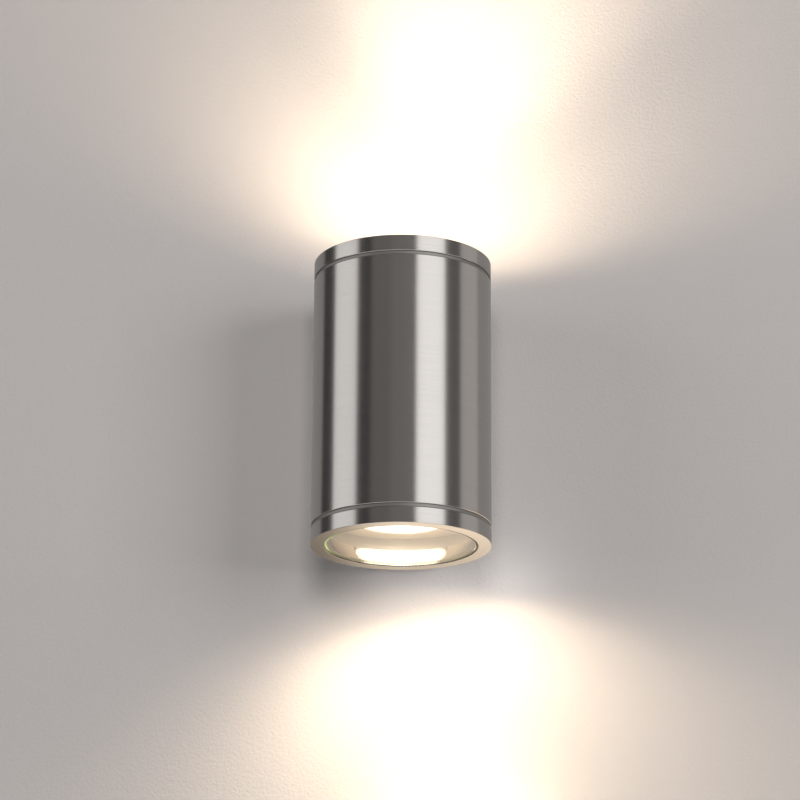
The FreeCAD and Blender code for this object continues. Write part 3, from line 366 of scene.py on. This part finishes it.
def brushed(name, steel, ring=False):
    """Metal brushed round the tube's axis.

    The brush lines are noise stretched round the axis: it changes fast along z + r and slowly along x
    and y, so that the lines run level on the sides and in rings on the end faces.
    """
    finish = Finish(name, Metallic=1.0)
    radius = finish.from_axis()
    along = finish.z + radius
    fine = finish.noise(finish.joined(finish.x * 45, finish.y * 45, along * 6200), 1.0, 3.0, 0.7)
    broad = finish.noise(finish.joined(finish.x * 28, finish.y * 28, along * 1150), 1.0, 2.0, 0.6)
    stain = finish.noise(finish.place, 38.0, 3.0, 0.6)
    lines = fine * 0.7 + broad * 0.3
    colour = finish.mix(lines.ramp(0.25, 0.75), shade(steel, 0.95), shade(steel, 1.05))
    colour = finish.mix(stain.ramp(0.55, 0.8) * 0.12, colour, shade(steel, 0.85))
    rough = 0.14 + lines * 0.07 + stain * 0.03
    if ring:
        # Polished land inside the opening, satin bore behind it, dull turned neck darkened with painted shade in
        # the groove, darkest at its corners
        depth = FACE - finish.z.size()
        land = radius.ramp(LAND_R + 0.0003, LAND_R) * depth.ramp(LEDGE_DEPTH - 0.0002, LEDGE_DEPTH + 0.0002)
        bore = (radius.ramp(BORE_R + 0.0002, BORE_R - 0.0002) * radius.ramp(LAND_R + 0.0001, LAND_R + 0.0004)
                * depth.ramp(BORE_DEPTH - 0.0005, BORE_DEPTH + 0.0005))
        neck = (radius.ramp(NECK_R + 0.00015, NECK_R) * radius.ramp(NECK_R - 0.0012, NECK_R - 0.0010)
                * depth.ramp(NECK_DEPTH - 0.0001, NECK_DEPTH))
        # Painted shade: zero near the neck's middle, full towards its two corners
        painted_groove_shade = (depth - GROOVE_DEPTH).size().ramp(0.0005, 0.0010)
        for zone, zone_rough in ((land, 0.016), (bore, 0.34), (neck, 0.5)):
            rough = rough * (1 - zone) + zone * zone_rough
        colour = finish.mix(land, colour, shade(steel, 1.25))
        # Painted shade: the neck is darker partly for its duller turned finish and partly as shade in the groove,
        # darkest at its corners
        colour = finish.mix(neck, colour, finish.mix(painted_groove_shade, shade(steel, 0.62), shade(steel, 0.2)))
    finish.set("Base Color", colour)
    finish.set("Roughness", rough)
    finish.relief(lines, 0.000005)
    return finish


class WALLLIGHT_OT_shell(Operator):
    """Finish the tube and the end rings, and cut their screw threads"""

    bl_idname = "walllight.shell"
    bl_label = "Tube and End Rings"

    def execute(self, context):
        steel = tuple(context.scene.wall_light_finish.steel)
        made = {"brushed_tube": brushed("brushed_tube", steel),
                "brushed_ring": brushed("brushed_ring", steel, ring=True)}
        finish_slots(made)
        thread = context.scene.wall_light_thread
        pitch = thread.pitch
        turns = (TUBE_END - SKIRT_END) / pitch - BARE_TURNS
        for end, sign in ENDS.items():
            low = SKIRT_END + BARE_INNER * pitch if sign > 0 else BARE_OUTER * pitch - TUBE_END
            ridge = helix_ridge(THREAD_R, 1, low, turns, 0.0, thread)
            mesh_piece(f"{end}_ring_thread", *ridge, f"{end}_end_ring", "brushed_ring", made["brushed_ring"])
            ridge = helix_ridge(THREAD_R, -1, low, turns, math.pi, thread)
            mesh_piece(f"{end}_mouth_thread", *ridge, "housing", "brushed_tube", made["brushed_tube"])
        return {"FINISHED"}


class WALLLIGHT_OT_glass(Operator):
    """Finish the glasses, their seals and the rubber pieces"""

    bl_idname = "walllight.glass"
    bl_label = "Glasses and Seals"

    def execute(self, context):
        glass = Finish("clear_glass", Roughness=0.0, IOR=1.5, Transmission_Weight=1.0)
        radius = glass.from_axis()
        edge = radius.ramp(GLASS_R - 0.0011, GLASS_R - 0.0003)
        glass.set("Base Color", glass.mix(edge, (0.975, 0.992, 0.978), (0.62, 0.86, 0.66)))
        # Painted glow: emission on the edge stands in for the lamp's light that the edge pipes, green at the left
        # where the glass is looked through lengthwise
        left = glass.x.ramp(-0.024, -0.037)
        front = glass.y.ramp(AXIS_Y + 0.026, AXIS_Y + 0.006)
        painted_edge_glow = edge * left * front
        glass.set("Emission Color", glass.mix(painted_edge_glow, (0.0, 0.0, 0.0), (0.50, 0.62, 0.26)))
        glass.set("Emission Strength", 0.9)
        seal = Finish("bonding_seal", Roughness=0.45, IOR=1.42)
        spread = seal.noise(seal.place, 900.0)
        seal.set("Base Color", seal.mix(spread, (0.30, 0.25, 0.14), (0.42, 0.36, 0.22)))
        # Painted glow: emission stands in for the lamp's light that the land throws through the seal at the middle
        # of the side towards the wall, with a faint painted glow over the rest of the seal
        middle_part = seal.x.size().ramp(0.023, 0.018)
        wall_side = seal.y.ramp(AXIS_Y + 0.030, AXIS_Y + 0.036)
        lit = middle_part * wall_side
        seal.set("Emission Color", seal.mix(lit, (0.03, 0.024, 0.012), (1.0, 0.90, 0.70)))
        seal.set("Emission Strength", 1.0)
        seal.relief(spread, 0.00005)
        rubber = Finish("black_rubber", IOR=1.5)
        grain = rubber.noise(rubber.place, 2600.0, 3.0)
        bloom = rubber.noise(rubber.place, 60.0, 3.0)
        rubber.set("Base Color", rubber.mix(bloom, (0.016, 0.016, 0.016), (0.038, 0.037, 0.036)))
        rubber.set("Roughness", 0.62 + grain * 0.2)
        rubber.relief(grain, 0.00004)
        finish_slots({"clear_glass": glass, "bonding_seal": seal, "black_rubber": rubber})
        for end in ENDS:
            NODES[f"{end}_glass"].visible_shadow = False
        return {"FINISHED"}


class WALLLIGHT_OT_lamps(Operator):
    """Finish the baffles and lamps, and light the lenses"""

    bl_idname = "walllight.lamps"
    bl_label = "Lamps and Baffles"

    def execute(self, context):
        light = context.scene.wall_light_light
        tone = tuple(context.scene.wall_light_finish.baffle)
        baffle = Finish("spun_baffle", Metallic=0.7)
        radius = baffle.from_axis()
        turned = baffle.noise(baffle.joined(baffle.x * 20, baffle.y * 20, (radius + baffle.z) * 4200), 1.0, 2.0)
        baffle.set("Base Color", baffle.mix(turned, shade(tone, 0.9), shade(tone, 1.1)))
        baffle.set("Roughness", 0.32 + turned * 0.14)
        baffle.relief(turned, 0.00001)

        body = Finish("lamp_housing", IOR=1.5)
        grain = body.noise(body.place, 1500.0, 3.0)
        warmth = body.noise(body.place, 30.0, 2.0)
        body.set("Base Color", body.mix(warmth, (0.80, 0.79, 0.76), (0.88, 0.87, 0.85)))
        body.set("Roughness", 0.38 + grain * 0.12)
        body.relief(grain, 0.00003)

        cap = speckled("lamp_cap", 800.0, 2.0, ((0.84, 0.83, 0.80), (0.90, 0.89, 0.87)), (0.30, 0.1),
                       0.00002, IOR=1.5)

        pins = Finish("nickel_pins", Metallic=1.0)
        scratch = pins.noise(pins.joined(pins.x * 300, pins.y * 300, pins.z * 5000), 1.0, 3.0)
        pins.set("Base Color", pins.mix(scratch, (0.64, 0.62, 0.58), (0.80, 0.78, 0.74)))
        pins.set("Roughness", 0.14 + scratch * 0.16)
        pins.relief(scratch, 0.00001)

        lens = Finish("lamp_lens", Roughness=0.25, IOR=1.49, Emission_Strength=light.lens)
        from_middle = lens.from_axis()
        ripple = (from_middle * LENS_RIPPLE).math("SINE") * 0.5 + 0.5
        core = from_middle.ramp(LENS_R * LENS_CORE[0], LENS_R * LENS_CORE[1])
        warm = tuple(light.lamp_colour)
        border = lens.mix(ripple * 0.5, shade(warm, 0.066), shade(warm, 0.042))
        lens.set("Emission Color", lens.mix(core, border, (1.0, 0.93, 0.80)))
        lens.set("Base Color", lens.mix(ripple, (0.86, 0.85, 0.82), (0.94, 0.93, 0.90)))
        lens.relief(ripple, 0.0001)
        finish_slots({"spun_baffle": baffle, "lamp_housing": body, "lamp_cap": cap, "nickel_pins": pins,
                      "lamp_lens": lens})
        return {"FINISHED"}


class WALLLIGHT_OT_holders(Operator):
    """Finish the ceramic lampholders, their contacts and the plated screws"""

    bl_idname = "walllight.holders"
    bl_label = "Lampholders"

    def execute(self, context):
        ceramic = Finish("ceramic", IOR=1.55, Coat_Roughness=0.12)
        specks = ceramic.cells(1400.0)
        cloud = ceramic.noise(ceramic.place, 120.0, 3.0)
        dark = specks.ramp(0.16, 0.06) * cloud.ramp(0.45, 0.65)
        base = ceramic.mix(cloud, (0.80, 0.78, 0.72), (0.88, 0.86, 0.81))
        ceramic.set("Base Color", ceramic.mix(dark, base, (0.42, 0.37, 0.30)))
        ceramic.set("Roughness", 0.34 + cloud * 0.2)
        ceramic.set("Coat Weight", 0.35)
        ceramic.relief(ceramic.noise(ceramic.place, 900.0, 3.0), 0.00005)

        brass = Finish("contact_brass", Metallic=1.0)
        tarnish = brass.noise(brass.place, 240.0, 4.0)
        brass.set("Base Color", brass.mix(tarnish.ramp(0.4, 0.7), (0.80, 0.62, 0.30), (0.62, 0.43, 0.20)))
        brass.set("Roughness", 0.2 + tarnish * 0.22)
        brass.relief(tarnish, 0.00002)

        zinc = speckled("zinc_screws", 500.0, 4.0, ((0.60, 0.62, 0.66), (0.78, 0.79, 0.80)), (0.22, 0.2),
                        0.00002, Metallic=1.0)
        finish_slots({"ceramic": ceramic, "contact_brass": brass, "zinc_screws": zinc})
        return {"FINISHED"}


class WALLLIGHT_OT_wiring(Operator):
    """Finish the carrier, the terminal block and the leads"""

    bl_idname = "walllight.wiring"
    bl_label = "Carrier and Wiring"

    def execute(self, context):
        sheet = Finish("galvanised_sheet", Metallic=0.9)
        spangle = sheet.cells(190.0, output="Color")
        level = sheet.node("ShaderNodeRGBToBW", None, {"Color": spangle})
        smear = sheet.noise(sheet.place, 70.0, 3.0)
        grey = sheet.mix(level, (0.46, 0.48, 0.50), (0.70, 0.72, 0.73))
        sheet.set("Base Color", sheet.mix(smear.ramp(0.5, 0.8) * 0.35, grey, (0.58, 0.58, 0.57)))
        sheet.set("Roughness", 0.34 + level * 0.2)
        sheet.relief(sheet.noise(sheet.place, 700.0, 3.0), 0.00002)

        block = Finish("block_plastic", IOR=1.5)
        swirl = block.noise(block.place, 90.0, 4.0)
        fine = block.noise(block.place, 1800.0, 2.0)
        block.set("Base Color", block.mix(swirl, (0.80, 0.79, 0.74), (0.89, 0.88, 0.85)))
        block.set("Roughness", 0.46 + fine * 0.14)
        block.relief(fine, 0.00003)

        leads = {slot: speckled(slot, 600.0, 3.0, colours, (0.42, 0.16), 0.00003, IOR=1.45)
                 for slot, colours in (("live_lead", ((0.10, 0.035, 0.014), (0.17, 0.065, 0.03))),
                                       ("neutral_lead", ((0.02, 0.07, 0.27), (0.04, 0.13, 0.40))))}
        # The earth lead's two colours meet along it, on both sides of its own middle line
        earth = Finish("earth_lead", IOR=1.45)
        side = (earth.x - middle("earth_lead").x).ramp(-0.00006, 0.00006)
        worn = earth.noise(earth.place, 600.0, 3.0)
        green = earth.mix(worn, (0.03, 0.20, 0.03), (0.05, 0.28, 0.05))
        earth.set("Base Color", earth.mix(side, green, (0.80, 0.62, 0.04)))
        earth.set("Roughness", 0.42 + worn * 0.16)
        earth.relief(worn, 0.00003)
        finish_slots({"galvanised_sheet": sheet, "block_plastic": block, "earth_lead": earth, **leads})
        return {"FINISHED"}


class WALLLIGHT_OT_mounting(Operator):
    """Finish the saddle and its screws"""

    bl_idname = "walllight.mounting"
    bl_label = "Saddle and Screws"

    def execute(self, context):
        cast = Finish("cast_saddle", Metallic=0.85)
        grain = cast.noise(cast.place, 1300.0, 4.0, 0.65)
        waves = cast.noise(cast.place, 160.0, 3.0)
        cast.set("Base Color", cast.mix(waves * 0.6 + grain * 0.4, (0.44, 0.43, 0.42), (0.62, 0.61, 0.60)))
        cast.set("Roughness", 0.40 + grain * 0.2)
        cast.relief(grain * 0.6 + waves * 0.4, 0.00012)

        bright = speckled("stainless_screws", 420.0, 4.0, ((0.56, 0.55, 0.54), (0.72, 0.71, 0.70)),
                          (0.18, 0.18), 0.00002, Metallic=1.0)
        finish_slots({"cast_saddle": cast, "stainless_screws": bright})
        return {"FINISHED"}


# ---- Studio ----

WARM = (1.0, 0.965, 0.94)
WHITE = (1.0, 1.0, 1.0)

# Kinds of ray that a light is made for
MATT = ("diffuse",)
MIRROR = ("glossy",)

# Watts for each square metre of a soft light's face at level 1
FACE_WATTS = 4

# Panels that the metal mirrors: azimuth to the right of the camera and width, both in degrees, level, colour
PANELS = (
    ("edge_left", -151, 58, 0.175, WARM),
    ("soft_left", -78, 37, 0.66, WHITE),
    ("front_left", -27, 26, 0.075, WARM),
    ("front", -1, 26, 0.105, WARM),
    ("soft_right", 37, 38, 0.92, WHITE),
    ("gap_right", 68, 24, 0.045, WARM),
    ("side_right", 97, 34, 0.32, WARM),
    ("edge_right", 147, 64, 0.19, WARM),
)
PANEL_DISTANCE = 2.0
PANEL_HEIGHT = 6.0

# Panel overhead that the metal mirrors: place, width, depth and level
CEILING = ((0, -1.5, 3.5), 6.0, 5.0, 0.45)

# Lights of the room: azimuth to the right of the camera and elevation in degrees, width in metres, level
ROOM_LIGHTS = (
    ("room_key", 42, 5, 1.3, 4.2),
    ("room_fill", -60, 5, 1.5, 2.1),
    ("room_front", 0, 8, 0.7, 13.2),
    ("room_back", 180, 20, 2.0, 1.6),
)
ROOM_DISTANCE = 2.8

# Cones of a lamp's lights in degrees, the spill's share of the lean, and the source's share of the lens
BEAM_CONE = 72
SPILL_CONE = 163
SPILL_LEAN = {"upper": 0.6, "lower": 1.15}
SOURCE_SHARE = 0.8
LENS_GAP = 0.0008

# Disc that stands for the light thrown back by a glass: radius, and depth under the ring's face
DISC_R = 0.035
DISC_DEPTH = 0.0055

# Light between the lower ring's face and the wall: shift to the right, place, width, height and level
UNDER_X = 0.032
UNDER_Y = -0.030
UNDER_DROP = 0.006
UNDER_SIZE = (0.095, 0.010)
UNDER_LEVEL = 2.6

# Stage: the wall's plane, half the room's width, the floor's level and front, the wall's top
WALL_Y = 0.0003
ROOM_HALF = 3
FLOOR_Z = -1.6
FLOOR_FRONT = -4
WALL_TOP = 2

# Lit strip of wall that the metal mirrors: half its width, its low end, its start under the ring's face
LIT_HALF = 0.3
LIT_LOW = -0.6
LIT_START = 0.0015


def aimed(name, data, place, target, colour, sees):
    """Add a light that looks at a target. sees names the kinds of ray that meet it."""
    data.color = colour
    lamp = bpy.data.objects.new(name, data)
    bpy.context.scene.collection.objects.link(lamp)
    lamp.location = place
    lamp.rotation_euler = (Vector(target) - Vector(place)).to_track_quat("-Z", "Y").to_euler()
    for kind in ("camera", "diffuse", "glossy", "transmission"):
        setattr(lamp, f"visible_{kind}", kind in sees)
    return lamp


def soft_light(name, place, target, width, height, level, colour, sees):
    """Rectangular light whose face has the given level, where 1 is white."""
    data = bpy.data.lights.new(name, "AREA")
    data.shape = "RECTANGLE"
    data.size = width
    data.size_y = height
    data.energy = FACE_WATTS * level * width * height
    return aimed(name, data, place, target, colour, sees)


def plane_piece(name, corners, finish):
    """Flat stage piece from four corners."""
    mesh = bpy.data.meshes.new(name)
    mesh.from_pydata(corners, [], [list(range(len(corners)))])
    mesh.materials.append(finish.material)
    piece = bpy.data.objects.new(name, mesh)
    bpy.context.scene.collection.objects.link(piece)
    return piece


def upright(name, half, low, high, finish):
    """Flat stage piece in the wall's plane, reaching half to each side."""
    return plane_piece(name, [(-half, WALL_Y, low), (half, WALL_Y, low), (half, WALL_Y, high),
                              (-half, WALL_Y, high)], finish)


def unseen(piece, *kinds):
    """Hide a piece from some kinds of ray."""
    for kind in kinds:
        setattr(piece, f"visible_{kind}", False)


def around(azimuth, elevation, distance):
    """Point at a distance from the tube's middle. The azimuth is to the right of the camera, in degrees."""
    turn, rise = math.radians(azimuth), math.radians(elevation)
    return (distance * math.sin(turn) * math.cos(rise), AXIS_Y - distance * math.cos(turn) * math.cos(rise),
            distance * math.sin(rise))


class WALLLIGHT_OT_stage(Operator):
    """Make the camera, the wall, the floor, the studio's lights and the lamps' beams"""

    bl_idname = "walllight.stage"
    bl_label = "Stage"

    def execute(self, context):
        self.make_camera(context.scene)
        self.make_world(context.scene)
        self.make_wall(context.scene)
        self.make_lit_wall()
        self.make_floor(context.scene)
        self.make_room_lights(context.scene)
        self.make_lamp_lights(context.scene)
        return {"FINISHED"}

    def make_camera(self, scene):
        """Camera on a line through the tube's middle, turned about its line of sight by the roll."""
        settings = scene.wall_light_camera
        axis = Vector(CENTRE)
        place = axis + settings.distance * Vector((0, -math.cos(settings.elevation), math.sin(settings.elevation)))
        forward = (axis + Vector(settings.aim) - place).normalized()
        right = forward.cross(Vector((0, 0, 1))).normalized()
        up = right.cross(forward)
        cos, sin = math.cos(settings.roll), math.sin(settings.roll)
        columns = (cos * right + sin * up, cos * up - sin * right, -forward)
        data = bpy.data.cameras.new("camera")
        data.lens = settings.lens
        data.sensor_width = 36.0
        camera = bpy.data.objects.new("camera", data)
        scene.collection.objects.link(camera)
        camera.matrix_world = Matrix.Translation(place) @ Matrix(columns).transposed().to_4x4()
        scene.camera = camera

    def make_world(self, scene):
        """Dim room, seen by the camera as a pale backdrop."""
        world = bpy.data.worlds.new("room")
        world.use_nodes = True
        tree = world.node_tree
        tree.nodes.clear()
        path = add_node(tree, "ShaderNodeLightPath", output="Is Camera Ray")
        glass = add_node(tree, "ShaderNodeLightPath", output="Is Transmission Ray")
        dim = add_node(tree, "ShaderNodeBackground", None, {"Color": (0.042, 0.040, 0.039, 1), "Strength": 1.0})
        pale = add_node(tree, "ShaderNodeBackground", None, {"Color": (0.60, 0.57, 0.55, 1), "Strength": 1.0})
        both = add_node(tree, "ShaderNodeMixShader", None, {0: path.math("MAXIMUM", glass), 1: dim, 2: pale})
        out = tree.nodes.new("ShaderNodeOutputWorld")
        tree.links.new(both.output, out.inputs["Surface"])
        scene.world = world

    def make_wall(self, scene):
        """Painted wall that the camera sees, clear from behind and left out of all reflections."""
        tone = tuple(scene.wall_light_finish.wall)
        paint = Finish("wall_paint", Roughness=0.85)
        roller = paint.noise(paint.place, 520.0, 3.0, 0.6)
        cloud = paint.noise(paint.place, 7.0, 2.0)
        paint.set("Base Color", paint.mix(roller * 0.4 + cloud * 0.6, shade(tone, 0.97), shade(tone, 1.03)))
        paint.relief(roller, 0.0004)
        clear = paint.node("ShaderNodeBsdfTransparent")
        behind = paint.node("ShaderNodeNewGeometry", output="Backfacing")
        both = paint.node("ShaderNodeMixShader", None,
                          {0: behind, 1: Value(paint.tree, paint.shader.outputs[0]), 2: clear})
        paint.tree.links.new(both.output, paint.out.inputs["Surface"])
        unseen(upright("wall", ROOM_HALF, FLOOR_Z, WALL_TOP, paint), "diffuse", "glossy", "transmission", "shadow")

    def make_lit_wall(self):
        """Strip in the same wall's plane whose emission is painted light for the lower beam's pool on the wall;
        only mirroring pieces see it.
        """
        lit = Finish("lit_wall", Roughness=1.0, Base_Color=(0.02, 0.02, 0.02), Emission_Strength=1.3)
        # Painted light: brighter towards the right and further below the ring's face
        across = lit.x.ramp(-0.050, 0.002) * 0.72 + 0.28
        down = lit.z.ramp(-FACE - 0.003, -FACE - 0.034) * 0.34 + 0.66
        lit.set("Emission Color", lit.mix(across * down, (0.0, 0.0, 0.0), (0.90, 0.745, 0.575)))
        strip = upright("wall_glow", LIT_HALF, LIT_LOW, -FACE - LIT_START, lit)
        unseen(strip, "camera", "diffuse", "transmission", "shadow")

    def make_floor(self, scene):
        """Pale floor far below, bright by itself so that it needs no light of its own."""
        tone = tuple(scene.wall_light_finish.floor)
        ground = Finish("floor_screed", Roughness=0.8, Emission_Strength=0.55)
        marks = ground.noise(ground.place, 12.0, 5.0)
        screed = ground.mix(marks, shade(tone, 0.95), shade(tone, 1.05))
        ground.set("Base Color", screed)
        ground.set("Emission Color", screed)
        corners = [(-ROOM_HALF, FLOOR_FRONT, FLOOR_Z), (ROOM_HALF, FLOOR_FRONT, FLOOR_Z),
                   (ROOM_HALF, WALL_Y, FLOOR_Z), (-ROOM_HALF, WALL_Y, FLOOR_Z)]
        unseen(plane_piece("floor", corners, ground), "diffuse")

    def make_room_lights(self, scene):
        """Soft room light for the wall and matt pieces, and panels for the metal."""
        light = scene.wall_light_light
        for name, azimuth, elevation, size, level in ROOM_LIGHTS:
            place = around(azimuth, elevation, ROOM_DISTANCE)
            soft_light(name, place, CENTRE, size, size, level * light.room, WARM, MATT)
        for name, azimuth, width, level, colour in PANELS:
            place = around(azimuth, 0, PANEL_DISTANCE)
            across = 2 * PANEL_DISTANCE * math.tan(math.radians(width / 2))
            soft_light(name, place, CENTRE, across, PANEL_HEIGHT, level * light.panels, colour, MIRROR)
        place, width, depth, level = CEILING
        soft_light("ceiling", place, CENTRE, width, depth, level * light.panels, WARM, MIRROR)

    def make_lamp_lights(self, scene):
        """Beams and spill of the lamps, and the light that glasses and ring throw back."""
        light = scene.wall_light_light
        warm = tuple(light.lamp_colour)
        for end, sign in ENDS.items():
            lens = Vector((0, AXIS_Y, sign * (LENS_FACE + LENS_GAP)))
            for name, power, cone, lean in (("beam", light.beam, BEAM_CONE, light.lean),
                                            ("spill", light.spill, SPILL_CONE, light.lean * SPILL_LEAN[end])):
                out = lens + Vector((math.sin(lean), 0, sign * math.cos(lean)))
                data = bpy.data.lights.new(f"{end}_{name}", "SPOT")
                data.energy = power
                data.spot_size = math.radians(cone)
                data.spot_blend = 1.0
                data.shadow_soft_size = LENS_R * SOURCE_SHARE
                aimed(f"{end}_{name}", data, lens, out, warm, MATT)
            disc = bpy.data.lights.new(f"{end}_inside", "AREA")
            disc.shape = "DISK"
            disc.size = 2 * DISC_R
            disc.energy = FACE_WATTS * light.inside * math.pi * DISC_R ** 2
            aimed(f"{end}_inside", disc, (0, AXIS_Y, sign * (FACE - DISC_DEPTH)), CENTRE, warm, MATT)
        height = -FACE - UNDER_DROP
        soft_light("under_ring", (UNDER_X, UNDER_Y, height), (UNDER_X, 0, height), *UNDER_SIZE,
                   UNDER_LEVEL, WARM, MATT)


# ---- Panel and registration ----

STEPS = (WALLLIGHT_OT_stage, WALLLIGHT_OT_shell, WALLLIGHT_OT_glass, WALLLIGHT_OT_lamps,
         WALLLIGHT_OT_holders, WALLLIGHT_OT_wiring, WALLLIGHT_OT_mounting)


class WALLLIGHT_PT_panel(Panel):
    """Sizes, colours and steps of the wall light"""

    bl_idname = "WALLLIGHT_PT_panel"
    bl_label = "Wall Light"
    bl_space_type = "VIEW_3D"
    bl_region_type = "UI"
    bl_category = "Wall Light"

    def draw(self, context):
        column = self.layout.column()
        for group in (context.scene.wall_light_camera, context.scene.wall_light_light,
                      context.scene.wall_light_finish, context.scene.wall_light_thread):
            for name in group.__annotations__:
                column.prop(group, name)
        for step in STEPS:
            column.operator(step.bl_idname)


GROUPS = {"wall_light_camera": CameraSettings, "wall_light_light": LightSettings,
          "wall_light_finish": FinishSettings, "wall_light_thread": ThreadSettings}


def register():
    """Add the settings, the steps and the panel."""
    for kind in (*GROUPS.values(), *STEPS, WALLLIGHT_PT_panel):
        bpy.utils.register_class(kind)
    for name, group in GROUPS.items():
        setattr(bpy.types.Scene, name, PointerProperty(type=group))


def unregister():
    """Take them away again."""
    for name in GROUPS:
        delattr(bpy.types.Scene, name)
    for kind in (WALLLIGHT_PT_panel, *STEPS[::-1], *GROUPS.values()):
        bpy.utils.unregister_class(kind)


def main():
    """Make the whole scene."""
    register()
    bpy.context.scene.view_settings.view_transform = "Standard"
    for step in STEPS:
        area, name = step.bl_idname.split(".")
        getattr(getattr(bpy.ops, area), name)()


if __name__ == "__main__":
    main()
